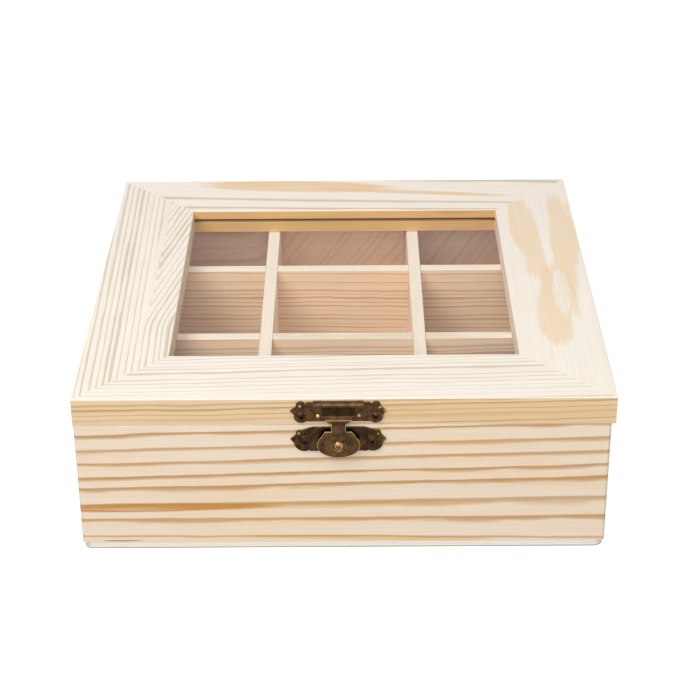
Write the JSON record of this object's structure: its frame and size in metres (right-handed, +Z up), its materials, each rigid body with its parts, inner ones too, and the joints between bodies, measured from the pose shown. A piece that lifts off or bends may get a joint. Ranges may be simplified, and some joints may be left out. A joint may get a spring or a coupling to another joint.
{
  "type": "tea bag organizer box",
  "caption": "Shallow square wooden box with a hinged, glazed lid closed by a small metal clasp, divided inside into equal square compartments for tea bags.",
  "frame": {"origin": "centre of the box's underside, on the surface it stands on; the lid sits 0.8 mm to the right of it", "axes": "+X to the right, +Y from the clasp at the front to the hinges at the back, +Z up out of the box"},
  "size_m": [0.24, 0.2483, 0.0786],
  "materials": {
    "wall_pine": "bare sanded pine with tan latewood lines",
    "lid_pine": "bare sanded pine with fine close grain",
    "divider_pine": "bare sanded softwood strip",
    "base_ply": "pale bare plywood",
    "clear_pane": "clear, smooth, with a little dust",
    "bronze": "antique bronze, dark in the hollows and worn to gold on the edges",
    "brass": "rubbed brass",
    "steel": "bright wire"
  },
  "bodies": {
    "box": {"front_panel": "wall_pine", "back_panel": "wall_pine", "left_side_panel": "wall_pine", "right_side_panel": "wall_pine", "base_board": "base_ply", "long_divider_left": "divider_pine", "long_divider_right": "divider_pine", "cross_divider_front": "divider_pine", "cross_divider_back": "divider_pine", "base_brads": "steel", "hinge_box_leaf_left": "bronze", "hinge_box_leaf_right": "bronze", "hinge_pin_left": "bronze", "hinge_pin_right": "bronze", "hinge_screws_box": "bronze", "clasp_box_plate": "bronze", "clasp_stud": "brass", "clasp_screws_box": "bronze"},
    "lid": {"lid_front_rail": "lid_pine", "lid_back_rail": "lid_pine", "lid_left_rail": "lid_pine", "lid_right_rail": "lid_pine", "window_pane": "clear_pane", "mitre_nails": "steel", "hinge_lid_leaf_left": "bronze", "hinge_lid_leaf_right": "bronze", "hinge_screws_lid": "bronze", "clasp_lid_plate": "bronze", "clasp_hasp_pin": "bronze", "clasp_screws_lid": "bronze"},
    "hasp": {"clasp_hasp": "bronze"}
  },
  "joints": [
    {"name": "lid_hinge", "type": "hinge", "parent": "box", "child": "lid", "pos_m": [0, 0.1217, 0.065], "axis": [-1, 0, 0], "range_deg": [0, 105]},
    {"name": "hasp_swing", "type": "hinge", "parent": "lid", "child": "hasp", "pos_m": [-0.0017, -0.1217, 0.0766], "axis": [-1, 0, 0], "range_deg": [0, 135]}
  ]
}
